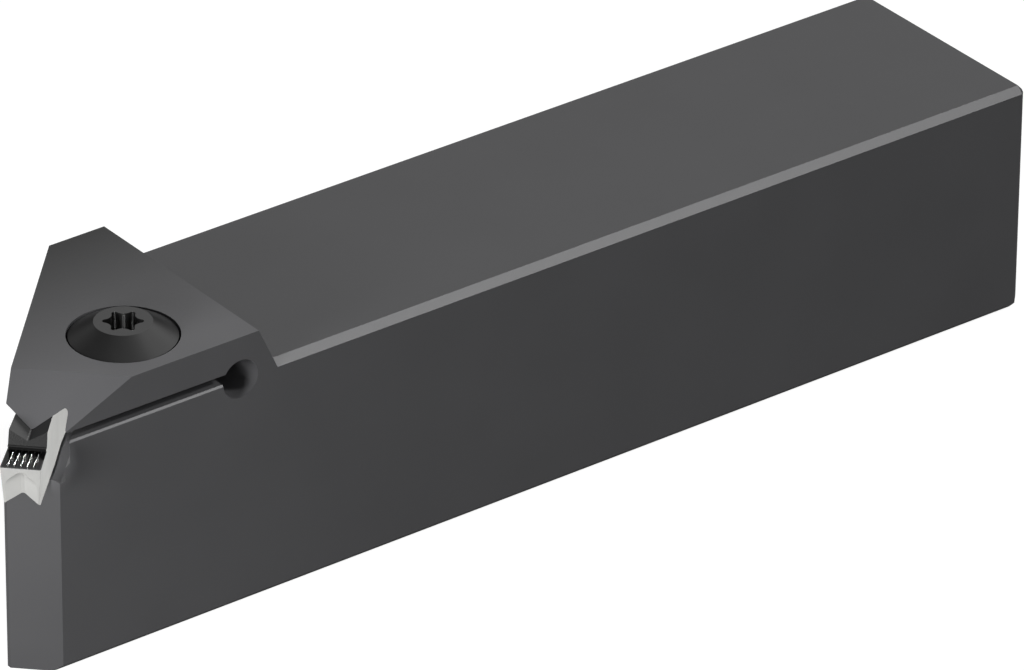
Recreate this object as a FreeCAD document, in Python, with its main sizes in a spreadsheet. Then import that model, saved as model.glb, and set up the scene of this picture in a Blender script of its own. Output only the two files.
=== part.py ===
import FreeCAD, Part
import math
import os

import Sketcher

# Turning tool holder for grooving and undercutting at 45 degrees, in millimetres.
# Construction frame: X runs along the shank from the blade's near front corner to the back end,
# Y runs from the near side to the far side, Z is up from the shank's base.
# The finished pieces are placed so that the origin is the middle of the shank's base.
# The near side is the one that the insert's front end reaches past.

SIZES = {
    # Shank: a square bar with broken edges.
    "shank_width": 25.0,
    "shank_height": 25.0,
    "front_to_back": 116.4,
    "edge_chamfer": 0.7,
    "end_chamfer": 0.8,
    # Head: its front face stands square to the insert, which points 45 degrees off the shank.
    "insert_angle": 45.0,
    "head_side": 5.35,
    "head_side_relief": 1.5,
    "front_corner_chamfer": 0.34,
    # Clamp arm: rises above the shank and ends in a sloping wall at the rear, a facet at the front.
    "arm_rise": 3.93,
    "arm_length": 22.72,
    "arm_root": 1.2,
    "rear_wall_angle": 65.0,
    "rear_fillet": 0.8,
    "facet_setback": 5.85,
    "facet_slope": 32.3,
    # Slit that frees the arm, ending in the round hole that it bends at.
    "slit_width": 1.04,
    "slit_floor_drop": 0.55,
    "slit_lip_chamfer": 0.18,
    "hinge_hole_diameter": 4.0,
    "hinge_setback": 2.12,
    "hinge_drop": 0.54,
    # Seat: a ridge on the blade and a ridge under the arm grip the insert's two grooves.
    "seat_offset": 2.65,
    "vee_slope": 26.0,
    "seat_crest_drop": 3.32,
    "ridge_round": 0.4,
    "grip_clearance": 0.02,
    "seat_to_wall": 3.1,
    "wall_step": 0.35,
    "wall_step_drop": 2.83,
    "pocket_corner_round": 0.32,
    "pocket_end_gap": 0.4,
    # Insert: two cutting ends, a groove along its top and its bottom.
    "insert_length": 24.0,
    "insert_waist": 3.88,
    "groove_round": 0.3,
    "cutting_width": 3.84,
    "side_taper_angle": 1.5,
    "side_clearance_angle": 3.0,
    "edge_overhang": 5.4,
    "edge_height": 3.17,
    "corner_round": 0.15,
    "flank_angle": 7.0,
    # Behind each cutting edge: a chip former of long scoops, a low bar and a shoulder.
    "shoulder_top_back": 4.3,
    "shoulder_foot_back": 3.72,
    "bar_width": 0.2,
    "bar_rise": 0.3,
    "bar_chamfer": 0.09,
    "scoop_radius": 0.27,
    "scoop_depth": 0.25,
    "scoop_pitch": 0.6,
    "scoop_back": 3.3,
    "scoop_front": 0.3,
    # Below each cutting edge, in the flank: a flute with sloping sides that runs out in an arch.
    "flute_depth": 0.8,
    "flute_floor": 0.36,
    "flute_side_angle": 31.2,
    "flute_land": 0.45,
    "flute_runout": 1.8,
    # Clamp screw and its hole.
    "screw_x": 12.2,
    "screw_y": 6.95,
    "recess_diameter": 10.8,
    "recess_depth": 1.6,
    "head_side_gap": 0.2,
    "head_rim_height": 1.5,
    "head_height": 3.02,
    "head_top_diameter": 5.6,
    "thread_diameter": 5.0,
    "thread_clearance": 0.05,
    "arm_hole_clearance": 0.25,
    "screw_length": 14.0,
    "screw_point_chamfer": 0.8,
    "hole_end_gap": 1.5,
    "drill_point_slope": 30.0,
    "socket_across_lobes": 3.9,
    "socket_across_flats": 2.8,
    "socket_lobe_radius": 0.31,
    "socket_depth": 2.0,
    "socket_turn": 23.4,
}

# Expressions for the levels and places that several features share.
ARM_TOP = "(Sizes.shank_height + Sizes.arm_rise)"
SLIT_FLOOR = "(Sizes.shank_height - Sizes.slit_floor_drop)"
SEAT_CREST = "(Sizes.shank_height - Sizes.seat_crest_drop)"
JAW_CREST = f"({SEAT_CREST} + Sizes.insert_waist + Sizes.grip_clearance)"
SCREW_SEAT = f"({ARM_TOP} - Sizes.recess_depth)"
HINGE_X = "(Sizes.arm_length - Sizes.hinge_setback)"
POCKET_DEPTH = "(Sizes.insert_length - Sizes.edge_overhang + Sizes.pocket_end_gap)"
ORIGIN_X = "((Sizes.front_to_back + Sizes.arm_length) / 2)"
# Cutting profiles run past the faces that they open on by this much.
PAST = "Sizes.shank_width"
# Scoops side by side across each chip former.
SCOOPS = 5


def make_sheet(doc):
    """Writes the driving sizes into a sheet, one named cell each."""
    sheet = doc.addObject("Spreadsheet::Sheet", "Sizes")
    for row, (name, value) in enumerate(SIZES.items(), start=1):
        sheet.set(f"A{row}", name)
        sheet.set(f"B{row}", str(value))
        sheet.setAlias(f"B{row}", name)
    doc.recompute()
    return sheet


def make_body(doc, name):
    """An empty body; its label names the piece."""
    body = doc.addObject("PartDesign::Body", name)
    body.Label = name
    return body


def make_sketch(body, name, role):
    """A sketch on one of the body's own origin planes."""
    sketch = body.newObject("Sketcher::SketchObject", name)
    plane = next(item for item in body.Origin.OriginFeatures if item.Role == role)
    sketch.AttachmentSupport = [(plane, "")]
    sketch.MapMode = "FlatFace"
    return sketch


def turn_with_insert(sketch):
    """Turns an upright sketch about Z, so that it stands along or across the insert."""
    turned = FreeCAD.Rotation(FreeCAD.Vector(0, 1, 0), SIZES["insert_angle"])
    sketch.AttachmentOffset = FreeCAD.Placement(FreeCAD.Vector(), turned)
    sketch.setExpression("AttachmentOffset.Rotation.Angle", "Sizes.insert_angle")


def pin_point(sketch, geometry, position, across, along):
    """Fixes a point of the sketch at the two expressions."""
    point = sketch.getPoint(geometry, position)
    for kind, axis, now, expression in (
        ("DistanceX", -2, point.x, across),
        ("DistanceY", -1, point.y, along),
    ):
        if expression == "0":
            sketch.addConstraint(Sketcher.Constraint("PointOnObject", geometry, position, axis))
            continue
        index = sketch.addConstraint(Sketcher.Constraint(kind, -1, 1, geometry, position, now))
        sketch.setExpression(f"Constraints[{index}]", expression)


def draw_outline(sketch, corners):
    """Draws a closed outline of straight lines through corners given as expressions."""
    first = sketch.GeometryCount
    count = len(corners)
    ring = [
        FreeCAD.Vector(math.cos(2 * math.pi * step / count), math.sin(2 * math.pi * step / count), 0)
        for step in range(count)
    ]
    for step in range(count):
        sketch.addGeometry(Part.LineSegment(ring[step], ring[(step + 1) % count]), False)
    for step in range(count):
        following = first + (step + 1) % count
        sketch.addConstraint(Sketcher.Constraint("Coincident", first + step, 2, following, 1))
    for step, (across, along) in enumerate(corners):
        pin_point(sketch, first + step, 1, across, along)


def draw_circle(sketch, across, along, diameter):
    """Draws a circle whose centre and diameter are given as expressions."""
    circle = sketch.addGeometry(Part.Circle(FreeCAD.Vector(), FreeCAD.Vector(0, 0, 1), 1.0), False)
    pin_point(sketch, circle, 3, across, along)
    index = sketch.addConstraint(Sketcher.Constraint("Diameter", circle, 2.0))
    sketch.setExpression(f"Constraints[{index}]", diameter)


def cut_away(body, feature):
    """Recomputes after a cutting feature and makes sure that it took material away."""
    before = feature.BaseFeature.Shape.Volume
    body.Document.recompute()
    if not feature.Shape.Volume < before:
        raise RuntimeError(f"{feature.Name} cuts nothing")


def pocket_through(body, name, sketch):
    """Cuts the sketch's outline through everything on both sides of its plane."""
    pocket = body.newObject("PartDesign::Pocket", name)
    pocket.Profile = sketch
    pocket.SideType = "Symmetric"
    pocket.Type = "ThroughAll"
    cut_away(body, pocket)
    return pocket


def edges_where(shape, wanted):
    """Names of the shape's edges that pass the test."""
    return [f"Edge{index}" for index, edge in enumerate(shape.Edges, start=1) if wanted(edge)]


def is_near(value, target):
    """True if two lengths are the same within the model's rounding."""
    return abs(value - target) < 1e-4


def dress_edges(body, kind, name, size, expression, wanted):
    """Adds a chamfer or fillet to the edges that pass the test."""
    base = body.Tip
    edges = edges_where(base.Shape, wanted)
    if not edges:
        raise RuntimeError(f"{name} finds no edge")
    feature = body.newObject(kind, name)
    feature.Base = (base, edges)
    feature.setExpression(size, expression)
    body.Document.recompute()
    return feature


def add_shank(body):
    """The square bar, with its long edges and the edges of its back end broken."""
    sketch = make_sketch(body, "ShankPlan", "XY_Plane")
    draw_outline(
        sketch,
        [
            (f"-{PAST}", "0"),
            ("Sizes.front_to_back", "0"),
            ("Sizes.front_to_back", "Sizes.shank_width"),
            (f"-{PAST}", "Sizes.shank_width"),
        ],
    )
    pad = body.newObject("PartDesign::Pad", "Shank")
    pad.Profile = sketch
    pad.setExpression("Length", "Sizes.shank_height")
    body.Document.recompute()

    def is_long(edge):
        return is_near(edge.BoundBox.YLength, 0) and is_near(edge.BoundBox.ZLength, 0)

    def is_back(edge):
        return is_near(edge.BoundBox.XMin, SIZES["front_to_back"])

    dress_edges(body, "PartDesign::Chamfer", "LongEdges", "Size", "Sizes.edge_chamfer", is_long)
    dress_edges(body, "PartDesign::Chamfer", "BackEdges", "Size", "Sizes.end_chamfer", is_back)


def add_arm_blank(body):
    """The block that the clamp arm is cut from; its rear wall slopes down to the shank."""
    foot = "Sizes.arm_length + (Sizes.arm_rise + Sizes.arm_root) / tan(Sizes.rear_wall_angle)"
    root = "Sizes.shank_height - Sizes.arm_root"
    sketch = make_sketch(body, "ArmSide", "XZ_Plane")
    draw_outline(
        sketch,
        [
            (f"-{PAST}", root),
            (foot, root),
            ("Sizes.arm_length", ARM_TOP),
            (f"-{PAST}", ARM_TOP),
        ],
    )
    pad = body.newObject("PartDesign::Pad", "ArmBlank")
    pad.Profile = sketch
    pad.Reversed = True
    pad.setExpression("Length", "Sizes.shank_width")
    body.Document.recompute()

    def is_wall_foot(edge):
        box = edge.BoundBox
        level = is_near(box.ZMin, SIZES["shank_height"]) and is_near(box.ZLength, 0)
        across = is_near(box.XLength, 0) and box.YLength > SIZES["shank_width"] / 2
        return level and across and box.XMin < SIZES["front_to_back"] / 2

    dress_edges(body, "PartDesign::Fillet", "ArmFoot", "Radius", "Sizes.rear_fillet", is_wall_foot)


def trim_head(body):
    """Cuts the head's plan: the front face square to the insert and the far side beside it."""
    front = "(Sizes.head_side - Sizes.front_corner_chamfer)"
    side_x = (
        "(Sizes.front_corner_chamfer * cos(Sizes.insert_angle)"
        " - Sizes.head_side * sin(Sizes.insert_angle))"
    )
    side_y = (
        "(Sizes.front_corner_chamfer * sin(Sizes.insert_angle)"
        " + Sizes.head_side * cos(Sizes.insert_angle))"
    )
    side_angle = "(Sizes.insert_angle + Sizes.head_side_relief)"
    far_x = f"({side_x} + 2 * {PAST} * cos({side_angle}))"
    far_y = f"({side_y} + 2 * {PAST} * sin({side_angle}))"
    near_y = f"-{PAST} * cos(Sizes.insert_angle)"
    sketch = make_sketch(body, "HeadPlan", "XY_Plane")
    draw_outline(
        sketch,
        [
            (f"{PAST} * sin(Sizes.insert_angle)", near_y),
            (f"-{front} * sin(Sizes.insert_angle)", f"{front} * cos(Sizes.insert_angle)"),
            (side_x, side_y),
            (far_x, far_y),
            (f"-2 * {PAST}", far_y),
            (f"-2 * {PAST}", near_y),
        ],
    )
    pocket_through(body, "HeadTrim", sketch)


def cut_facet(body):
    """The facet that slopes from the arm's top down to the jaw above the insert."""
    drop = f"tan(Sizes.facet_slope) * (Sizes.facet_setback + {PAST})"
    sketch = make_sketch(body, "FacetSide", "XZ_Plane")
    turn_with_insert(sketch)
    draw_outline(
        sketch,
        [
            (f"-{PAST}", f"{ARM_TOP} - {drop}"),
            ("Sizes.facet_setback", ARM_TOP),
            ("Sizes.facet_setback", f"{ARM_TOP} + {PAST}"),
            (f"-{PAST}", f"{ARM_TOP} + {PAST}"),
        ],
    )
    pocket_through(body, "Facet", sketch)


def cut_slit(body):
    """The slit between arm and blade, and the hole that ends it."""
    slit = make_sketch(body, "SlitSide", "XZ_Plane")
    draw_outline(
        slit,
        [
            (f"-{PAST}", SLIT_FLOOR),
            (HINGE_X, SLIT_FLOOR),
            (HINGE_X, f"{SLIT_FLOOR} + Sizes.slit_width"),
            (f"-{PAST}", f"{SLIT_FLOOR} + Sizes.slit_width"),
        ],
    )
    pocket_through(body, "Slit", slit)
    hole = make_sketch(body, "HingeSide", "XZ_Plane")
    draw_circle(hole, HINGE_X, "Sizes.shank_height - Sizes.hinge_drop", "Sizes.hinge_hole_diameter")
    pocket_through(body, "HingeHole", hole)


def cut_insert_pocket(body):
    """The space for the insert, with the blade's ridge below it and the arm's ridge above it."""
    centre = "Sizes.seat_offset"
    near_run = "Sizes.seat_to_wall"
    far_run = "Sizes.head_side"
    slope = "tan(Sizes.vee_slope)"
    step_top = "(Sizes.shank_height - Sizes.wall_step_drop)"
    sketch = make_sketch(body, "PocketSection", "YZ_Plane")
    turn_with_insert(sketch)
    draw_outline(
        sketch,
        [
            (f"{centre} - {near_run}", f"{SEAT_CREST} - {slope} * {near_run}"),
            (centre, SEAT_CREST),
            (f"{centre} + {far_run}", f"{SEAT_CREST} - {slope} * {far_run}"),
            (f"{centre} + {far_run}", f"{JAW_CREST} + {slope} * {far_run}"),
            (centre, JAW_CREST),
            (f"{centre} - {near_run}", f"{JAW_CREST} + {slope} * {near_run}"),
            (f"{centre} - {near_run}", f"{SLIT_FLOOR} + Sizes.slit_width / 2"),
            (f"{centre} - {near_run} - Sizes.wall_step", f"{SLIT_FLOOR} + Sizes.slit_width / 2"),
            (f"{centre} - {near_run} - Sizes.wall_step", step_top),
            (f"{centre} - {near_run}", f"{step_top} - Sizes.wall_step"),
        ],
    )
    pocket = body.newObject("PartDesign::Pocket", "InsertPocket")
    pocket.Profile = sketch
    pocket.Reversed = True
    pocket.setExpression("Length", POCKET_DEPTH)
    cut_away(body, pocket)
    turned = FreeCAD.Rotation(FreeCAD.Vector(0, 0, 1), -SIZES["insert_angle"])

    def runs_along_pocket(edge, offset):
        if not isinstance(edge.Curve, Part.Line):
            return False
        start, end = (turned.multVec(vertex.Point) for vertex in edge.Vertexes)
        return is_near(start.y, offset) and is_near(end.y, offset) and is_near(start.z, end.z)

    def is_crest(edge):
        return runs_along_pocket(edge, SIZES["seat_offset"])

    def is_corner(edge):
        seat = SIZES["shank_height"] - SIZES["seat_crest_drop"]
        slit_top = SIZES["shank_height"] - SIZES["slit_floor_drop"] + SIZES["slit_width"]
        outside = edge.BoundBox.ZMin < seat or edge.BoundBox.ZMin > slit_top
        return outside and runs_along_pocket(edge, SIZES["seat_offset"] - SIZES["seat_to_wall"])

    dress_edges(body, "PartDesign::Fillet", "RidgeRounds", "Radius", "Sizes.ridge_round", is_crest)
    dress_edges(body, "PartDesign::Fillet", "PocketRounds", "Radius", "Sizes.pocket_corner_round", is_corner)


def cut_screw_hole(body):
    """The head's recess, the clear hole through the arm and the threaded hole in the shank."""
    recess = "Sizes.recess_diameter / 2"
    clear = "(Sizes.thread_diameter / 2 + Sizes.arm_hole_clearance)"
    thread = "(Sizes.thread_diameter / 2 + Sizes.thread_clearance)"
    in_slit = f"({SLIT_FLOOR} + Sizes.slit_width / 2)"
    end = f"({SCREW_SEAT} - Sizes.screw_length - Sizes.hole_end_gap)"
    sketch = make_sketch(body, "ScrewHoleHalf", "XZ_Plane")
    sketch.setExpression("AttachmentOffset.Base.x", "Sizes.screw_x")
    sketch.setExpression("AttachmentOffset.Base.z", "-Sizes.screw_y")
    draw_outline(
        sketch,
        [
            ("0", f"{ARM_TOP} + {PAST}"),
            ("0", f"{end} - {thread} * tan(Sizes.drill_point_slope)"),
            (thread, end),
            (thread, in_slit),
            (clear, in_slit),
            (clear, SCREW_SEAT),
            (recess, SCREW_SEAT),
            (recess, f"{ARM_TOP} + {PAST}"),
        ],
    )
    groove = body.newObject("PartDesign::Groove", "ScrewHole")
    groove.Profile = sketch
    groove.ReferenceAxis = (sketch, ["V_Axis"])
    cut_away(body, groove)


def break_slit_lip(body):
    """The broken lower lip of the slit, on the near side."""
    floor = SIZES["shank_height"] - SIZES["slit_floor_drop"]

    def is_slit_lip(edge):
        box = edge.BoundBox
        on_near_side = is_near(box.YMin, 0) and is_near(box.YLength, 0)
        return on_near_side and is_near(box.ZMin, floor) and is_near(box.ZLength, 0)

    dress_edges(body, "PartDesign::Chamfer", "SlitLip", "Size", "Sizes.slit_lip_chamfer", is_slit_lip)


def make_holder(doc):
    """The holder: shank, blade and clamp arm in one piece of steel."""
    body = make_body(doc, "holder_body")
    add_shank(body)
    add_arm_blank(body)
    trim_head(body)
    cut_facet(body)
    cut_slit(body)
    cut_insert_pocket(body)
    break_slit_lip(body)
    cut_screw_hole(body)
    body.setExpression("Placement.Base.x", f"-{ORIGIN_X}")
    body.setExpression("Placement.Base.y", "-Sizes.shank_width / 2")
    return body


def add_insert_bar(body):
    """The insert's bar: a section with a groove in its top and one in its bottom."""
    half = "Sizes.cutting_width"
    slope = "tan(Sizes.vee_slope)"
    sketch = make_sketch(body, "InsertSection", "YZ_Plane")
    draw_outline(
        sketch,
        [
            (f"-{half}", f"-{slope} * {half}"),
            ("0", "0"),
            (half, f"-{slope} * {half}"),
            (half, f"Sizes.insert_waist + {slope} * {half}"),
            ("0", "Sizes.insert_waist"),
            (f"-{half}", f"Sizes.insert_waist + {slope} * {half}"),
        ],
    )
    pad = body.newObject("PartDesign::Pad", "InsertBar")
    pad.Profile = sketch
    pad.SideType = "Symmetric"
    pad.setExpression("Length", "Sizes.insert_length")
    body.Document.recompute()

    def is_groove(edge):
        box = edge.BoundBox
        return is_near(box.YMin, 0) and is_near(box.YMax, 0) and is_near(box.ZLength, 0)

    dress_edges(body, "PartDesign::Fillet", "GrooveRounds", "Radius", "Sizes.groove_round", is_groove)


def relieve_insert_sides(body):
    """Narrows the insert behind its cutting edges, and towards its bottom."""
    half = "(Sizes.cutting_width / 2)"
    end = "(Sizes.insert_length / 2)"
    waist = f"({half} - {end} * tan(Sizes.side_taper_angle))"
    plan = make_sketch(body, "InsertPlan", "XY_Plane")
    for side in ("", "-"):
        draw_outline(
            plan,
            [
                (end, f"{side}{half}"),
                ("0", f"{side}{waist}"),
                (f"-{end}", f"{side}{half}"),
                (f"-{end}", f"{side}({half} + {PAST})"),
                (end, f"{side}({half} + {PAST})"),
            ],
        )
    pocket_through(body, "InsertSides", plan)
    edge = "Sizes.edge_height"
    reach = f"({edge} + Sizes.cutting_width)"
    inward = f"({reach} * tan(Sizes.side_clearance_angle))"
    section = make_sketch(body, "InsertClearance", "YZ_Plane")
    for side in ("", "-"):
        draw_outline(
            section,
            [
                (f"{side}{half}", edge),
                (f"{side}({half} - {inward})", f"{edge} - {reach}"),
                (f"{side}({half} + {PAST})", f"{edge} - {reach}"),
                (f"{side}({half} + {PAST})", edge),
            ],
        )
    pocket_through(body, "InsertUndersides", section)


def cut_insert_ends(body):
    """At each end: the shoulder, the bar, the land behind the cutting edge and the flank below it."""
    end = "(Sizes.insert_length / 2)"
    edge = "Sizes.edge_height"
    rim = "(Sizes.insert_waist + tan(Sizes.vee_slope) * Sizes.cutting_width / 2)"
    reach = f"({edge} + Sizes.cutting_width)"
    bar_top = f"({edge} + Sizes.bar_rise)"
    bar_front = f"({end} - Sizes.shoulder_foot_back + Sizes.bar_width)"
    top = make_sketch(body, "InsertTopSide", "XZ_Plane")
    flank = make_sketch(body, "InsertFlankSide", "XZ_Plane")
    for side in ("", "-"):
        draw_outline(
            top,
            [
                (f"{side}({end} - Sizes.shoulder_top_back)", f"{rim} + {PAST}"),
                (f"{side}({end} - Sizes.shoulder_top_back)", rim),
                (f"{side}({end} - Sizes.shoulder_foot_back)", bar_top),
                (f"{side}{bar_front}", bar_top),
                (f"{side}{bar_front}", edge),
                (f"{side}({end} + {PAST})", edge),
                (f"{side}({end} + {PAST})", f"{rim} + {PAST}"),
            ],
        )
        draw_outline(
            flank,
            [
                (f"{side}{end}", edge),
                (f"{side}({end} - {reach} * tan(Sizes.flank_angle))", f"{edge} - {reach}"),
                (f"{side}({end} + {PAST})", f"{edge} - {reach}"),
                (f"{side}({end} + {PAST})", edge),
            ],
        )
    pocket_through(body, "InsertTops", top)
    pocket_through(body, "InsertFlanks", flank)
    height = SIZES["edge_height"] + SIZES["bar_rise"]
    place = SIZES["insert_length"] / 2 - SIZES["shoulder_foot_back"] + SIZES["bar_width"]

    def is_bar_front(edge):
        box = edge.BoundBox
        level = is_near(box.ZMin, height) and is_near(box.ZLength, 0)
        return level and is_near(box.XLength, 0) and is_near(abs(box.XMin), place)

    dress_edges(body, "PartDesign::Chamfer", "BarEdges", "Size", "Sizes.bar_chamfer", is_bar_front)


def cut_scoops(body):
    """The chip former: scoops side by side that run out behind the cutting edge, at both ends."""
    sketch = make_sketch(body, "ScoopSection", "YZ_Plane")
    depth = "Sizes.scoop_depth"
    rise = SIZES["scoop_depth"] / (SIZES["scoop_back"] - SIZES["scoop_front"])
    turned = FreeCAD.Rotation(FreeCAD.Vector(-1, 0, 0), math.degrees(math.atan(rise)))
    sketch.AttachmentOffset = FreeCAD.Placement(FreeCAD.Vector(), turned)
    sketch.setExpression(
        "AttachmentOffset.Rotation.Angle", f"atan({depth} / (Sizes.scoop_back - Sizes.scoop_front))"
    )
    sketch.setExpression("AttachmentOffset.Base.z", "Sizes.insert_length / 2 - Sizes.scoop_back")
    sketch.setExpression("AttachmentOffset.Base.y", f"Sizes.edge_height - {depth}")
    for index in range(SCOOPS):
        place = index - (SCOOPS - 1) / 2
        across = f"{place} * Sizes.scoop_pitch" if place else "0"
        draw_circle(sketch, across, "Sizes.scoop_radius", "2 * Sizes.scoop_radius")
    pocket = body.newObject("PartDesign::Pocket", "Scoops")
    pocket.Profile = sketch
    pocket.Reversed = True
    pocket.setExpression("Length", "Sizes.scoop_back")
    cut_away(body, pocket)
    mirror_ends(body, "ScoopsOtherEnd", [pocket])


def mirror_ends(body, name, features):
    """Repeats features of the front end at the insert's other end."""
    mirrored = body.newObject("PartDesign::Mirrored", name)
    mirrored.Originals = features
    plane = next(item for item in body.Origin.OriginFeatures if item.Role == "YZ_Plane")
    mirrored.MirrorPlane = (plane, [""])
    body.Tip = mirrored
    body.Document.recompute()


def make_flute_sketch(body, name):
    """A sketch square to the flank, at the level where the flute's arch begins."""
    runout = "Sizes.flute_runout"
    rise = f"sqrt({runout} ^ 2 - ({runout} - Sizes.flute_depth) ^ 2)"
    drop = f"(Sizes.flute_land + {rise})"
    sketch = make_sketch(body, name, "XY_Plane")
    turned = FreeCAD.Rotation(FreeCAD.Vector(0, 1, 0), SIZES["flank_angle"])
    sketch.AttachmentOffset = FreeCAD.Placement(FreeCAD.Vector(), turned)
    sketch.setExpression("AttachmentOffset.Rotation.Angle", "Sizes.flank_angle")
    sketch.setExpression(
        "AttachmentOffset.Base.x", f"Sizes.insert_length / 2 - {drop} * sin(Sizes.flank_angle)"
    )
    sketch.setExpression(
        "AttachmentOffset.Base.z", f"Sizes.edge_height - {drop} * cos(Sizes.flank_angle)"
    )
    return sketch


def cut_flutes(body):
    """The flute down each flank, ended above by the arch that a round run-out leaves."""
    floor = "Sizes.flute_floor / 2"
    plan = make_flute_sketch(body, "FlutePlan")
    open_half = f"({floor} + {PAST} / tan(Sizes.flute_side_angle))"
    draw_outline(
        plan,
        [
            ("-Sizes.flute_depth", floor),
            (f"{PAST} - Sizes.flute_depth", open_half),
            (f"{PAST} - Sizes.flute_depth", f"-{open_half}"),
            ("-Sizes.flute_depth", f"-{floor}"),
        ],
    )
    pocket = body.newObject("PartDesign::Pocket", "Flute")
    pocket.Profile = plan
    pocket.Type = "ThroughAll"
    cut_away(body, pocket)
    wheel = make_flute_sketch(body, "RunoutHalf")
    wheel_half = f"({floor} + Sizes.flute_runout / tan(Sizes.flute_side_angle))"
    draw_outline(
        wheel,
        [
            ("-Sizes.flute_depth", floor),
            ("Sizes.flute_runout - Sizes.flute_depth", wheel_half),
            ("Sizes.flute_runout - Sizes.flute_depth", f"-{wheel_half}"),
            ("-Sizes.flute_depth", f"-{floor}"),
        ],
    )
    runout = body.newObject("PartDesign::Groove", "FluteRunout")
    runout.Profile = wheel
    runout.ReferenceAxis = (wheel, ["Edge2"])
    cut_away(body, runout)
    mirror_ends(body, "FlutesOtherEnd", [pocket, runout])


def round_insert(body):
    """Rounds the upright corners at the ends of the cutting edges."""
    end = SIZES["insert_length"] / 2
    half = SIZES["cutting_width"] / 2
    edge_height = SIZES["edge_height"]

    def is_nose_corner(edge):
        top = max(edge.Vertexes, key=lambda vertex: vertex.Z).Point
        at_corner = is_near(abs(top.x), end) and is_near(abs(top.y), half) and is_near(top.z, edge_height)
        return at_corner and edge.BoundBox.ZMin < edge_height / 2

    dress_edges(body, "PartDesign::Fillet", "NoseRounds", "Radius", "Sizes.corner_round", is_nose_corner)


def make_insert(doc):
    """The cutting insert, seated on the blade's ridge."""
    body = make_body(doc, "cutting_insert")
    add_insert_bar(body)
    relieve_insert_sides(body)
    cut_insert_ends(body)
    cut_scoops(body)
    cut_flutes(body)
    round_insert(body)
    ahead = "(Sizes.edge_overhang - Sizes.insert_length / 2)"
    out_x = f"-{ahead} * cos(Sizes.insert_angle) - Sizes.seat_offset * sin(Sizes.insert_angle)"
    out_y = f"-{ahead} * sin(Sizes.insert_angle) + Sizes.seat_offset * cos(Sizes.insert_angle)"
    turned = FreeCAD.Rotation(FreeCAD.Vector(0, 0, 1), 180 + SIZES["insert_angle"])
    body.Placement = FreeCAD.Placement(FreeCAD.Vector(), turned)
    body.setExpression("Placement.Rotation.Angle", "180 + Sizes.insert_angle")
    body.setExpression("Placement.Base.x", f"{out_x} - {ORIGIN_X}")
    body.setExpression("Placement.Base.y", f"{out_y} - Sizes.shank_width / 2")
    body.setExpression("Placement.Base.z", SEAT_CREST)
    return body


def draw_socket(sketch):
    """Six round lobes joined by six inward curves, each curve tangent to its neighbours."""
    lobe_radius = SIZES["socket_lobe_radius"]
    outer = SIZES["socket_across_lobes"] / 2 - lobe_radius
    inner = SIZES["socket_across_flats"] / 2
    step = math.radians(30)
    # The valley's radius makes its circle touch both lobes and the distance across the flats.
    valley_radius = (outer**2 + inner**2 - 2 * outer * inner * math.cos(step) - lobe_radius**2) / (
        2 * (lobe_radius + outer * math.cos(step) - inner)
    )
    valley = inner + valley_radius
    normal = FreeCAD.Vector(0, 0, 1)

    def place(radius, angle):
        return FreeCAD.Vector(radius * math.cos(angle), radius * math.sin(angle), 0)

    for turn in range(6):
        angle = 2 * step * turn
        centre = place(outer, angle)
        next_valley = place(valley, angle + step)
        last_valley = place(valley, angle - step)
        start = math.atan2(last_valley.y - centre.y, last_valley.x - centre.x)
        finish = math.atan2(next_valley.y - centre.y, next_valley.x - centre.x)
        sketch.addGeometry(Part.ArcOfCircle(Part.Circle(centre, normal, lobe_radius), start, finish), False)
    for turn in range(6):
        angle = 2 * step * turn + step
        centre = place(valley, angle)
        lobe_after = place(outer, angle + step)
        lobe_before = place(outer, angle - step)
        start = math.atan2(lobe_after.y - centre.y, lobe_after.x - centre.x)
        finish = math.atan2(lobe_before.y - centre.y, lobe_before.x - centre.x)
        sketch.addGeometry(Part.ArcOfCircle(Part.Circle(centre, normal, valley_radius), start, finish), False)
    reach = "(Sizes.socket_across_lobes / 2 - Sizes.socket_lobe_radius)"
    for turn in range(6):
        angle = f"{60 * turn} deg"
        across = f"{reach} * cos({angle})"
        along = f"{reach} * sin({angle})" if turn % 3 else "0"
        pin_point(sketch, turn, 3, across, along)
        index = sketch.addConstraint(Sketcher.Constraint("Radius", turn, lobe_radius))
        sketch.setExpression(f"Constraints[{index}]", "Sizes.socket_lobe_radius")
        sketch.addConstraint(Sketcher.Constraint("Tangent", turn, 2, 6 + turn, 2))
        sketch.addConstraint(Sketcher.Constraint("Tangent", 6 + turn, 1, (turn + 1) % 6, 1))
        if turn:
            sketch.addConstraint(Sketcher.Constraint("Equal", 6, 6 + turn))
    index = sketch.addConstraint(Sketcher.Constraint("Radius", 6, valley_radius))
    flats = "(Sizes.socket_across_flats / 2)"
    lobe = "Sizes.socket_lobe_radius"
    sketch.setExpression(
        f"Constraints[{index}]",
        f"({reach} ^ 2 + {flats} ^ 2 - 2 * {reach} * {flats} * cos(30 deg) - {lobe} ^ 2)"
        f" / (2 * ({lobe} + {reach} * cos(30 deg) - {flats}))",
    )


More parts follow.
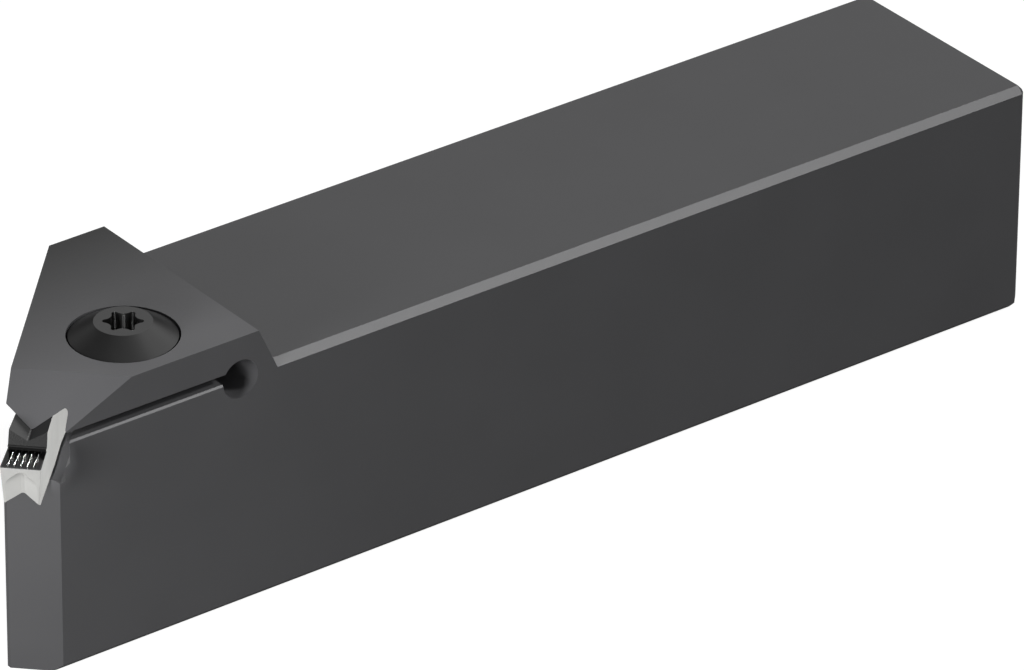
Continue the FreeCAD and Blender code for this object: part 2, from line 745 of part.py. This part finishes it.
def make_screw(doc):
    """The clamp screw: a low cone head with a six-lobe socket, and its threaded shank."""
    body = make_body(doc, "clamp_screw")
    thread = "Sizes.thread_diameter / 2"
    point = f"({thread} - Sizes.screw_point_chamfer)"
    rim = "(Sizes.recess_diameter / 2 - Sizes.head_side_gap)"
    sketch = make_sketch(body, "ScrewHalf", "XZ_Plane")
    draw_outline(
        sketch,
        [
            ("0", "-Sizes.screw_length"),
            (point, "-Sizes.screw_length"),
            (thread, "Sizes.screw_point_chamfer - Sizes.screw_length"),
            (thread, "0"),
            (rim, "0"),
            (rim, "Sizes.head_rim_height"),
            ("Sizes.head_top_diameter / 2", "Sizes.head_height"),
            ("0", "Sizes.head_height"),
        ],
    )
    blank = body.newObject("PartDesign::Revolution", "TurnedScrew")
    blank.Profile = sketch
    blank.ReferenceAxis = (sketch, ["V_Axis"])
    doc.recompute()
    socket = make_sketch(body, "SocketPlan", "XY_Plane")
    socket.setExpression("AttachmentOffset.Base.z", "Sizes.head_height")
    draw_socket(socket)
    pocket = body.newObject("PartDesign::Pocket", "Socket")
    pocket.Profile = socket
    pocket.setExpression("Length", "Sizes.socket_depth")
    cut_away(body, pocket)
    turned = FreeCAD.Rotation(FreeCAD.Vector(0, 0, 1), SIZES["socket_turn"])
    body.Placement = FreeCAD.Placement(FreeCAD.Vector(), turned)
    body.setExpression("Placement.Rotation.Angle", "Sizes.socket_turn")
    body.setExpression("Placement.Base.x", f"Sizes.screw_x - {ORIGIN_X}")
    body.setExpression("Placement.Base.y", "Sizes.screw_y - Sizes.shank_width / 2")
    body.setExpression("Placement.Base.z", SCREW_SEAT)
    return body


def check_document(doc, bodies):
    """Stops the build if any object failed or any piece is not one valid solid."""
    for item in doc.Objects:
        if "Invalid" in item.State or "Error" in item.State:
            raise RuntimeError(f"{item.Name} failed: {item.State}")
    for body in bodies:
        shape = body.Shape
        if shape.isNull() or not shape.isValid() or len(shape.Solids) != 1:
            raise RuntimeError(f"{body.Label} is not one valid solid")


def main():
    doc = FreeCAD.newDocument("ToolHolder")
    make_sheet(doc)
    bodies = [make_holder(doc), make_insert(doc), make_screw(doc)]
    doc.recompute()
    check_document(doc, bodies)
    os.makedirs("parts", exist_ok=True)
    for body in bodies:
        body.Shape.exportStep(os.path.join("parts", f"{body.Label}.step"))
        box = body.Shape.BoundBox
        print(
            f"{body.Label}: {box.XLength:.2f} x {box.YLength:.2f} x {box.ZLength:.2f} mm,"
            f" {body.Shape.Volume:.1f} mm3"
        )


main()
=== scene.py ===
import math

import bpy
from mathutils import Matrix, Vector

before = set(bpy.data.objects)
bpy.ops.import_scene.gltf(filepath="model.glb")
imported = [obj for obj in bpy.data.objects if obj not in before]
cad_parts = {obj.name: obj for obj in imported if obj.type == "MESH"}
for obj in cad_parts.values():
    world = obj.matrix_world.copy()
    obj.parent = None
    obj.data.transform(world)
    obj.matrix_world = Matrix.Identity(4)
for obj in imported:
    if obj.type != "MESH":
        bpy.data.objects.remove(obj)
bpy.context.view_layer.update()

MM = 0.001

# The row frame: X along the shank to its back end, Y to the far side, Z up.
X_AXIS = Vector((1, 0, 0))
Y_AXIS = Vector((0, 1, 0))
Z_AXIS = Vector((0, 0, 1))

# Sizes and places of the holder, and where the painted shade on the arm's top starts: it grows darker
# from the near, lit edge to the far side.
SHANK_WIDTH = 25.0 * MM
SHANK_HEIGHT = 25.0 * MM
HEAD = Vector((-67, -10, 24)) * MM
ARM_FOOT = SHANK_HEIGHT + 0.5 * MM
ARM_PAINTED_SHADE_START = -9.5 * MM

# The insert's middle at the level of its cutting edges, its directions and its size.
INSERT_MIDDLE = Vector((-66.767, -5.959, 24.85)) * MM
INSERT_ALONG = Vector((-1, -1, 0)).normalized()
INSERT_ACROSS = Vector((1, -1, 0)).normalized()
INSERT_HALF_LENGTH = 12.0 * MM
INSERT_HALF_WIDTH = 1.92 * MM

# The chip former: its margins to the cutting edge and to the sides, its length and its depth.
FORMER_EDGE_MARGIN = 0.2 * MM
FORMER_SIDE_MARGIN = 0.14 * MM
FORMER_LENGTH = 3.8 * MM
SCOOP_LENGTH = 3.4 * MM
FORMER_DEPTH = 0.35 * MM

# The photograph's camera: its width and focal length in pixels, its sensor in millimetres,
# where it looks, from which side and how far off, and the nearest and farthest it sees.
IMAGE_WIDTH = 1024
FOCAL_PIXELS = 9414.0
SENSOR = 36.0
CAMERA_AIM = Vector((-27.011, -25.385, 27.621)) * MM
CAMERA_DISTANCE = 878.58 * MM
CAMERA_AZIMUTH = math.radians(-37.513)
CAMERA_ELEVATION = math.radians(29.599)
CAMERA_ROLL = math.radians(0.456)
CLIP_START = 0.01
CLIP_END = 20.0

# Greys of the pieces. A tint above 0 makes a grey greenish yellow and below 0 bluish.
HOLDER_GREY = 0.07
# The painted shade on the arm's top: a lit grey at its near edge fading to a shaded grey, near black, at
# the far side.
ARM_PAINTED_LIT_GREY = 0.13
ARM_PAINTED_SHADE_GREY = 0.002
HOLDER_TINT = -0.03
SCREW_GREYS = (0.005, 0.008)
GROUND_GREYS = (0.38, 0.41)
GROUND_TINT = 0.02
COAT_GREY = 0.008
FLOOR_GREYS = (0.27, 0.29)

# Height of the surface grain, and width of the fine broken edges.
GRAIN_HEIGHT = 0.01 * MM
HOLDER_EDGE = 0.05 * MM
SCREW_EDGE = 0.04 * MM
INSERT_EDGE = 0.03 * MM
SHARP_ANGLE = math.radians(25)

# The floor's half width, its own glow to the camera, and the world's level on plain surfaces.
FLOOR_REACH = 6.0
FLOOR_GLOW = 0.9
WORLD_LEVEL = 0.08

# Where the front's reflections come from.
FRONT_GLOW = Vector((-0.75, -0.59, 0.32))

# The beam that comes from the front onto the floor of the pocket beside the insert.
POCKET_FLOOR = Vector((-67.55, -9.33, 20.8)) * MM
POCKET_DIRECTION = (-0.61, -0.61, 0.5)
POCKET_DISTANCE = 0.2
POCKET_BEAM_WIDTH = 1.9 * MM
POCKET_BEAM_HEIGHT = 2.8 * MM
POCKET_BEAM_BLEND = 0.5
POCKET_LAMP_RADIUS = 1.0 * MM
POCKET_POWER = 3.8


def link(obj):
    """Puts a new object into the scene."""
    bpy.context.scene.collection.objects.link(obj)
    return obj


def make_camera():
    """The camera at the photograph's angle."""
    back = Vector((
        math.sin(CAMERA_AZIMUTH) * math.cos(CAMERA_ELEVATION),
        -math.cos(CAMERA_AZIMUTH) * math.cos(CAMERA_ELEVATION),
        math.sin(CAMERA_ELEVATION),
    ))
    right = Z_AXIS.cross(back).normalized()
    up = back.cross(right)
    turned_right = right * math.cos(CAMERA_ROLL) + up * math.sin(CAMERA_ROLL)
    turned_up = up * math.cos(CAMERA_ROLL) - right * math.sin(CAMERA_ROLL)
    data = bpy.data.cameras.new("photo_camera")
    data.sensor_fit = "HORIZONTAL"
    data.sensor_width = SENSOR
    data.lens = FOCAL_PIXELS * SENSOR / IMAGE_WIDTH
    data.clip_start = CLIP_START
    data.clip_end = CLIP_END
    camera = link(bpy.data.objects.new("photo_camera", data))
    axes = Matrix((turned_right, turned_up, back)).transposed()
    camera.matrix_world = Matrix.Translation(CAMERA_AIM + back * CAMERA_DISTANCE) @ axes.to_4x4()
    bpy.context.scene.camera = camera


class Nodes:
    """Builds the nodes and links of a material or of the world in few words."""

    def __init__(self, owner, shader):
        owner.use_nodes = True
        self.owner = owner
        self.tree = owner.node_tree
        self.shader = self.tree.nodes[shader]
        self.coordinates = self.tree.nodes.new("ShaderNodeTexCoord")

    def add(self, kind, **settings):
        """A node with its settings."""
        node = self.tree.nodes.new(kind)
        for key, value in settings.items():
            setattr(node, key, value)
        return node

    def join(self, output, socket):
        """Links an output to an input socket."""
        self.tree.links.new(output, socket)

    def fill(self, socket, value):
        """Links an output to an input socket, or sets the socket where the value is plain."""
        if isinstance(value, bpy.types.NodeSocket):
            self.join(value, socket)
        else:
            socket.default_value = value

    def noise(self, scale, detail):
        """Noise in the object's own space."""
        node = self.add("ShaderNodeTexNoise")
        node.inputs["Scale"].default_value = scale
        node.inputs["Detail"].default_value = detail
        self.join(self.coordinates.outputs["Object"], node.inputs["Vector"])
        return node.outputs["Fac"]

    def along(self, output, axis):
        """How far a vector output reaches along an axis."""
        node = self.add("ShaderNodeVectorMath", operation="DOT_PRODUCT")
        self.join(output, node.inputs[0])
        node.inputs[1].default_value = axis
        return node.outputs["Value"]

    def spread(self, factor, low=0.0, high=1.0, start=0.0, end=1.0, smooth=False):
        """Maps a factor from start to end onto low to high, and holds it outside them."""
        node = self.add("ShaderNodeMapRange")
        node.interpolation_type = "SMOOTHSTEP" if smooth else "LINEAR"
        node.inputs["From Min"].default_value = start
        node.inputs["From Max"].default_value = end
        node.inputs["To Min"].default_value = low
        node.inputs["To Max"].default_value = high
        self.join(factor, node.inputs["Value"])
        return node.outputs["Result"]

    def compute(self, operation, first, second):
        """One operation on two values."""
        node = self.add("ShaderNodeMath", operation=operation)
        self.fill(node.inputs[0], first)
        self.fill(node.inputs[1], second)
        return node.outputs["Value"]

    def distance(self, output, axis):
        """How far a vector output reaches along an axis, to either side."""
        node = self.add("ShaderNodeMath", operation="ABSOLUTE")
        self.join(self.along(output, axis), node.inputs[0])
        return node.outputs["Value"]

    def mix(self, factor, first, second):
        """A colour between two colours, each an output or a plain colour."""
        node = self.add("ShaderNodeMix", data_type="RGBA")
        self.fill(node.inputs["Factor"], factor)
        self.fill(node.inputs["A"], first)
        self.fill(node.inputs["B"], second)
        return node.outputs["Result"]

    def bump(self, height, strength):
        """Bumps the shader's normal by a height."""
        node = self.add("ShaderNodeBump")
        node.inputs["Strength"].default_value = strength
        node.inputs["Distance"].default_value = GRAIN_HEIGHT
        self.join(height, node.inputs["Height"])
        self.join(node.outputs["Normal"], self.shader.inputs["Normal"])


def new_material(name):
    """Nodes for a new material on the Principled shader."""
    return Nodes(bpy.data.materials.new(name), "Principled BSDF")


def grey(value, tint=0.0):
    """A grey with its tint."""
    return (value * (1 + tint / 2), value * (1 + tint / 2), value * (1 - tint), 1)


def holder_steel():
    """Dark satin steel: soft clouds, a fine grain, and painted shade that darkens the arm's top towards
    the far side.
    """
    nodes = new_material("holder_steel")
    place = nodes.coordinates.outputs["Object"]
    normal = nodes.coordinates.outputs["Normal"]
    raised = nodes.spread(nodes.along(place, Z_AXIS), start=SHANK_HEIGHT, end=ARM_FOOT)
    upward = nodes.spread(nodes.along(normal, Z_AXIS), start=0.8, end=0.9)
    # Painted shade: on the raised, upward faces of the arm the colour fades from the lit grey to the
    # shaded grey towards the far side.
    far = nodes.spread(nodes.along(place, Y_AXIS), start=ARM_PAINTED_SHADE_START, end=SHANK_WIDTH / 2)
    arm = nodes.mix(far, grey(ARM_PAINTED_LIT_GREY, HOLDER_TINT), grey(ARM_PAINTED_SHADE_GREY, HOLDER_TINT))
    steel = nodes.mix(nodes.compute("MULTIPLY", raised, upward), grey(HOLDER_GREY, HOLDER_TINT), arm)
    cloud = nodes.spread(nodes.noise(scale=90, detail=3), low=0.96, high=1.04, start=0.3, end=0.7)
    clouded = nodes.add("ShaderNodeVectorMath", operation="SCALE")
    nodes.join(steel, clouded.inputs[0])
    nodes.join(cloud, clouded.inputs["Scale"])
    nodes.join(clouded.outputs["Vector"], nodes.shader.inputs["Base Color"])
    grain = nodes.noise(scale=6000, detail=2)
    nodes.join(nodes.spread(grain, low=0.42, high=0.50), nodes.shader.inputs["Roughness"])
    nodes.bump(grain, strength=0.12)
    return nodes.owner


def screw_steel():
    """Blackened steel with a faint grain."""
    nodes = new_material("screw_steel")
    cloud = nodes.spread(nodes.noise(scale=300, detail=3), start=0.35, end=0.65)
    nodes.join(nodes.mix(cloud, *map(grey, SCREW_GREYS)), nodes.shader.inputs["Base Color"])
    grain = nodes.noise(scale=5000, detail=2)
    nodes.join(nodes.spread(grain, low=0.28, high=0.34), nodes.shader.inputs["Roughness"])
    nodes.bump(grain, strength=0.08)
    return nodes.owner


def insert_carbide():
    """Carbide: the flanks and sides are ground pale, the top faces keep a glossy black coat."""
    nodes = new_material("insert_carbide")
    cloud = nodes.spread(nodes.noise(scale=400, detail=3), start=0.35, end=0.65)
    ground = nodes.mix(cloud, *(grey(value, GROUND_TINT) for value in GROUND_GREYS))
    place = nodes.add("ShaderNodeVectorMath", operation="SUBTRACT")
    nodes.join(nodes.coordinates.outputs["Object"], place.inputs[0])
    place.inputs[1].default_value = INSERT_MIDDLE
    outward = nodes.distance(place.outputs["Vector"], INSERT_ALONG)
    sideways = nodes.distance(place.outputs["Vector"], INSERT_ACROSS)
    above = nodes.along(place.outputs["Vector"], Z_AXIS)
    inside = nodes.compute("LESS_THAN", sideways, INSERT_HALF_WIDTH - FORMER_SIDE_MARGIN)
    behind = nodes.compute("LESS_THAN", outward, INSERT_HALF_LENGTH - FORMER_EDGE_MARGIN)
    ahead = nodes.compute("GREATER_THAN", outward, INSERT_HALF_LENGTH - FORMER_LENGTH)
    shallow = nodes.compute("GREATER_THAN", above, -FORMER_DEPTH)
    across = nodes.compute("MULTIPLY", inside, shallow)
    in_former = nodes.compute("MULTIPLY", across, nodes.compute("MULTIPLY", behind, ahead))
    upward = nodes.spread(nodes.along(nodes.coordinates.outputs["Normal"], Z_AXIS), start=0.15, end=0.25)
    coated = nodes.compute("MAXIMUM", in_former, upward)
    nodes.join(nodes.mix(coated, ground, grey(COAT_GREY)), nodes.shader.inputs["Base Color"])
    scooped = nodes.compute("GREATER_THAN", outward, INSERT_HALF_LENGTH - SCOOP_LENGTH)
    nodes.join(nodes.compute("MULTIPLY", in_former, scooped), nodes.shader.inputs["Metallic"])
    nodes.shader.inputs["Specular IOR Level"].default_value = 0.38
    grain = nodes.noise(scale=9000, detail=2)
    roughness = nodes.add("ShaderNodeMix", data_type="FLOAT")
    nodes.join(coated, roughness.inputs["Factor"])
    nodes.join(nodes.spread(grain, low=0.38, high=0.48), roughness.inputs["A"])
    nodes.join(nodes.spread(grain, low=0.10, high=0.14), roughness.inputs["B"])
    nodes.join(roughness.outputs["Result"], nodes.shader.inputs["Roughness"])
    nodes.bump(grain, strength=0.01)
    return nodes.owner


def dress(node, material):
    """Gives a CAD node its material."""
    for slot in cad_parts[node].material_slots:
        slot.material = material


def break_edges(node, bevel):
    """Gives a CAD node a fine broken edge that catches the light."""
    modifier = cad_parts[node].modifiers.new("fine_edges", "BEVEL")
    modifier.width = bevel
    modifier.segments = 2
    modifier.limit_method = "ANGLE"
    modifier.angle_limit = SHARP_ANGLE
    modifier.harden_normals = True


def pale_floor():
    """A wide floor at the shank's base; to the camera it fades to white and keeps the shadow."""
    mesh = bpy.data.meshes.new("floor")
    corners = [
        (-FLOOR_REACH, -FLOOR_REACH, 0),
        (FLOOR_REACH, -FLOOR_REACH, 0),
        (FLOOR_REACH, FLOOR_REACH, 0),
        (-FLOOR_REACH, FLOOR_REACH, 0),
    ]
    mesh.from_pydata(corners, [], [(0, 1, 2, 3)])
    floor = link(bpy.data.objects.new("floor", mesh))
    nodes = new_material("pale_floor")
    speckle = nodes.spread(nodes.noise(scale=40, detail=2), start=0.3, end=0.7)
    nodes.join(nodes.mix(speckle, *map(grey, FLOOR_GREYS)), nodes.shader.inputs["Base Color"])
    nodes.shader.inputs["Roughness"].default_value = 0.9
    nodes.shader.inputs["Specular IOR Level"].default_value = 0.0
    glow = nodes.add("ShaderNodeEmission")
    path = nodes.add("ShaderNodeLightPath")
    nodes.join(nodes.spread(path.outputs["Is Camera Ray"], high=FLOOR_GLOW), glow.inputs["Strength"])
    both = nodes.add("ShaderNodeAddShader")
    nodes.join(nodes.shader.outputs["BSDF"], both.inputs[0])
    nodes.join(glow.outputs["Emission"], both.inputs[1])
    nodes.join(both.outputs["Shader"], nodes.tree.nodes["Material Output"].inputs["Surface"])
    mesh.materials.append(nodes.owner)


def gather(name, node):
    """A collection that holds one CAD node, for a lamp's light linking."""
    collection = bpy.data.collections.new(name)
    collection.objects.link(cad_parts[node])
    return collection


def light_only(lamp, node):
    """Keeps a lamp for one CAD node, and lets it reach the node's narrow gaps."""
    lamp.light_linking.receiver_collection = gather(f"{lamp.name}_receivers", node)
    lamp.data.use_shadow = False
    lamp.data.cycles.use_multiple_importance_sampling = False


def light_all_but(lamp, node):
    """Keeps a lamp off one CAD node."""
    collection = gather(f"{lamp.name}_passes", node)
    collection.collection_objects[0].light_linking.link_state = "EXCLUDE"
    lamp.light_linking.receiver_collection = collection


def place_lamp(data, aim, direction, distance):
    """A lamp at a distance in a direction from a point, turned to face it."""
    lamp = link(bpy.data.objects.new(data.name, data))
    away = Vector(direction).normalized()
    lamp.location = aim + away * distance
    lamp.rotation_euler = away.to_track_quat("Z", "Y").to_euler()
    return lamp


def area_light(name, direction, distance, width, height, power):
    """A flat lamp that faces the head."""
    data = bpy.data.lights.new(name, "AREA")
    data.shape = "RECTANGLE"
    data.size = width
    data.size_y = height
    data.energy = power
    return place_lamp(data, HEAD, direction, distance)


def pocket_light():
    """A narrow beam for the pocket beside the insert."""
    data = bpy.data.lights.new("pocket", "SPOT")
    data.spot_size = 2 * math.atan(POCKET_BEAM_WIDTH / 2 / POCKET_DISTANCE)
    data.spot_blend = POCKET_BEAM_BLEND
    data.shadow_soft_size = POCKET_LAMP_RADIUS
    data.energy = POCKET_POWER
    lamp = place_lamp(data, POCKET_FLOOR, POCKET_DIRECTION, POCKET_DISTANCE)
    lamp.scale.y = POCKET_BEAM_HEIGHT / POCKET_BEAM_WIDTH
    lamp.light_linking.receiver_collection = gather("pocket_receivers", "holder_body")


def light_world():
    """White to the camera, a low even level on surfaces, and a brighter side in reflections."""
    world = bpy.data.worlds.new("studio")
    bpy.context.scene.world = world
    nodes = Nodes(world, "Background")
    direction = nodes.coordinates.outputs["Generated"]
    right = nodes.spread(nodes.along(direction, X_AXIS), low=0.05, high=1.3, start=-0.4, end=0.8)
    high = nodes.spread(
        nodes.along(direction, Z_AXIS), low=0.05, high=1.0, start=0.15, end=0.5, smooth=True
    )
    front = nodes.spread(
        nodes.along(direction, FRONT_GLOW), low=0.03, high=1.1, start=0.4, end=0.9, smooth=True
    )
    path = nodes.add("ShaderNodeLightPath")
    glossy = path.outputs["Is Glossy Ray"]
    glow = nodes.compute("ADD", nodes.compute("MULTIPLY", right, high), front)
    mirrored = nodes.compute("MULTIPLY", glow, glossy)
    level = nodes.compute("ADD", mirrored, nodes.spread(glossy, low=WORLD_LEVEL, high=0.0))
    nodes.shader.inputs["Color"].default_value = (1, 1, 1, 1)
    seen = nodes.compute("MAXIMUM", level, path.outputs["Is Camera Ray"])
    nodes.join(seen, nodes.shader.inputs["Strength"])


def light_studio():
    """Soft lamps for the scene, then lamps for one piece each: insert, screw socket and pocket."""
    area_light("near", direction=(-0.4, -0.75, 0.5), distance=1.5, width=0.6, height=0.6, power=2.1)
    area_light("left", direction=(-0.93, -0.32, 0.16), distance=0.15, width=0.05, height=0.05, power=0.27)
    chamfer_glint = area_light(
        "chamfer_glint", direction=(0.53, -0.49, 0.69), distance=1.0, width=0.15, height=0.15, power=4.6
    )
    light_all_but(chamfer_glint, "cutting_insert")
    insert_side = area_light(
        "insert_side", direction=(0.813, -0.53, 0.2), distance=1.0, width=0.3, height=0.3, power=14.0
    )
    light_only(insert_side, "cutting_insert")
    insert_ribs = area_light(
        "insert_ribs", direction=(0.68, 0.62, 0.39), distance=1.0, width=0.3, height=0.1, power=3.0
    )
    light_only(insert_ribs, "cutting_insert")
    socket_walls = area_light(
        "socket_walls", direction=(-0.53, -0.69, -0.49), distance=0.5, width=0.3, height=0.3, power=0.45
    )
    light_only(socket_walls, "clamp_screw")
    pocket_light()


make_camera()
light_world()
light_studio()
pale_floor()
dress("holder_body", holder_steel())
break_edges("holder_body", HOLDER_EDGE)
dress("clamp_screw", screw_steel())
break_edges("clamp_screw", SCREW_EDGE)
dress("cutting_insert", insert_carbide())
break_edges("cutting_insert", INSERT_EDGE)

bpy.context.scene.view_settings.view_transform = "Standard"
